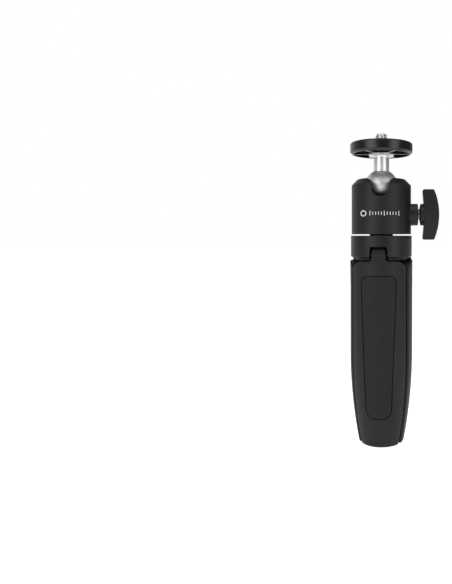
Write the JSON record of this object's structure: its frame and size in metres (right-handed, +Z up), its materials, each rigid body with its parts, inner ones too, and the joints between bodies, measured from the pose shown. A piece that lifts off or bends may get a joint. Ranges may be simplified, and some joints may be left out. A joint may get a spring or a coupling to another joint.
{
  "type": "mini tripod",
  "caption": "Pocket tripod with folding legs that close to a round grip, a panning ball head with a clamp lever and drop notch, and a round plate with a camera stud.",
  "frame": {"origin": "on the grip's axis, in the plane that the closed legs stand on", "axes": "+Z up along the axis to the camera stud, +X to the clamp lever, -Y to the drop notch"},
  "size_m": [0.0467, 0.033, 0.1615],
  "materials": {
    "black_anodised": "satin",
    "plate_anodised": "satin",
    "black_steel": "satin",
    "dark_aluminium": "satin",
    "leg_polymer": "satin",
    "grip_rubber": "matte",
    "foot_rubber": "matte",
    "plate_rubber": "matte",
    "lever_polymer": "matte",
    "bush_nylon": "satin",
    "washer_nylon": "satin",
    "pin_steel": "satin",
    "brass": "satin",
    "polished_steel": "polished"
  },
  "bodies": {
    "hub": {"hub_collar": "black_anodised", "pin_retainer": "black_anodised", "pan_bolt": "pin_steel", "pan_washer": "washer_nylon", "pan_spring": "pin_steel", "pan_nut": "pin_steel", "hinge_pin_1": "black_steel", "hinge_pin_2": "black_steel", "hinge_pin_3": "black_steel"},
    "leg_1": {"leg_shell_1": "leg_polymer", "grip_pad_1": "grip_rubber", "foot_pad_1": "foot_rubber", "hinge_bush_1": "bush_nylon"},
    "leg_2": {"leg_shell_2": "leg_polymer", "grip_pad_2": "grip_rubber", "foot_pad_2": "foot_rubber", "hinge_bush_2": "bush_nylon"},
    "leg_3": {"leg_shell_3": "leg_polymer", "grip_pad_3": "grip_rubber", "foot_pad_3": "foot_rubber", "hinge_bush_3": "bush_nylon"},
    "head": {"head_housing": "black_anodised", "head_base": "dark_aluminium", "seat_ring": "washer_nylon", "clamp_bushing": "brass"},
    "ball_seat": {"seat_pad": "washer_nylon"},
    "ball": {"ball": "polished_steel"},
    "platform": {"ball_stem": "polished_steel", "top_plate": "plate_anodised", "plate_pad": "plate_rubber", "camera_stud": "polished_steel"},
    "cup": {"ball_cup": "washer_nylon"},
    "wedge": {"wedge_plunger": "pin_steel"},
    "lever": {"clamp_lever": "lever_polymer", "clamp_screw": "pin_steel"}
  },
  "joints": [
    {"name": "leg_1_fold", "type": "hinge", "parent": "hub", "child": "leg_1", "pos_m": [-0.00074, -0.01218, 0.098], "axis": [-0.9981, 0.061, 0], "range_deg": [0, 50]},
    {"name": "leg_2_fold", "type": "hinge", "parent": "hub", "child": "leg_2", "pos_m": [0.01092, 0.00544, 0.098], "axis": [0.4462, -0.8949, 0], "range_deg": [0, 50]},
    {"name": "leg_3_fold", "type": "hinge", "parent": "hub", "child": "leg_3", "pos_m": [-0.01017, 0.00673, 0.098], "axis": [0.5519, 0.8339, 0], "range_deg": [0, 50]},
    {"name": "head_pan", "type": "hinge", "parent": "hub", "child": "head", "pos_m": [0, 0, 0.10845], "axis": [0, 0, 1], "continuous": true},
    {"name": "ball_tilt_side", "type": "hinge", "parent": "head", "child": "ball_seat", "pos_m": [0, 0, 0.1341], "axis": [0, 1, 0], "range_deg": [-27, 27]},
    {"name": "ball_tilt_front", "type": "hinge", "parent": "ball_seat", "child": "ball", "pos_m": [0, 0, 0.1341], "axis": [1, 0, 0], "range_deg": [-27, 90]},
    {"name": "platform_spin", "type": "hinge", "parent": "ball", "child": "platform", "pos_m": [0, 0, 0.1341], "axis": [0, 0, 1], "continuous": true},
    {"name": "wedge_slide", "type": "slide", "parent": "head", "child": "wedge", "axis": [1, 0, 0], "range_m": [0, 0.0015]},
    {"name": "clamp_turn", "type": "hinge", "parent": "wedge", "child": "lever", "pos_m": [0.025, 0, 0.1188], "axis": [1, 0, 0], "range_deg": [0, 540]},
    {"name": "cup_drop", "type": "slide", "parent": "head", "child": "cup", "axis": [0, 0, -1], "range_m": [0, 0.0008661]}
  ],
  "couplings": [
    {"joint": "wedge_slide", "follows": "clamp_turn", "m_per_rad": 0.00015915},
    {"joint": "cup_drop", "follows": "clamp_turn", "m_per_rad": 0.000091888}
  ]
}
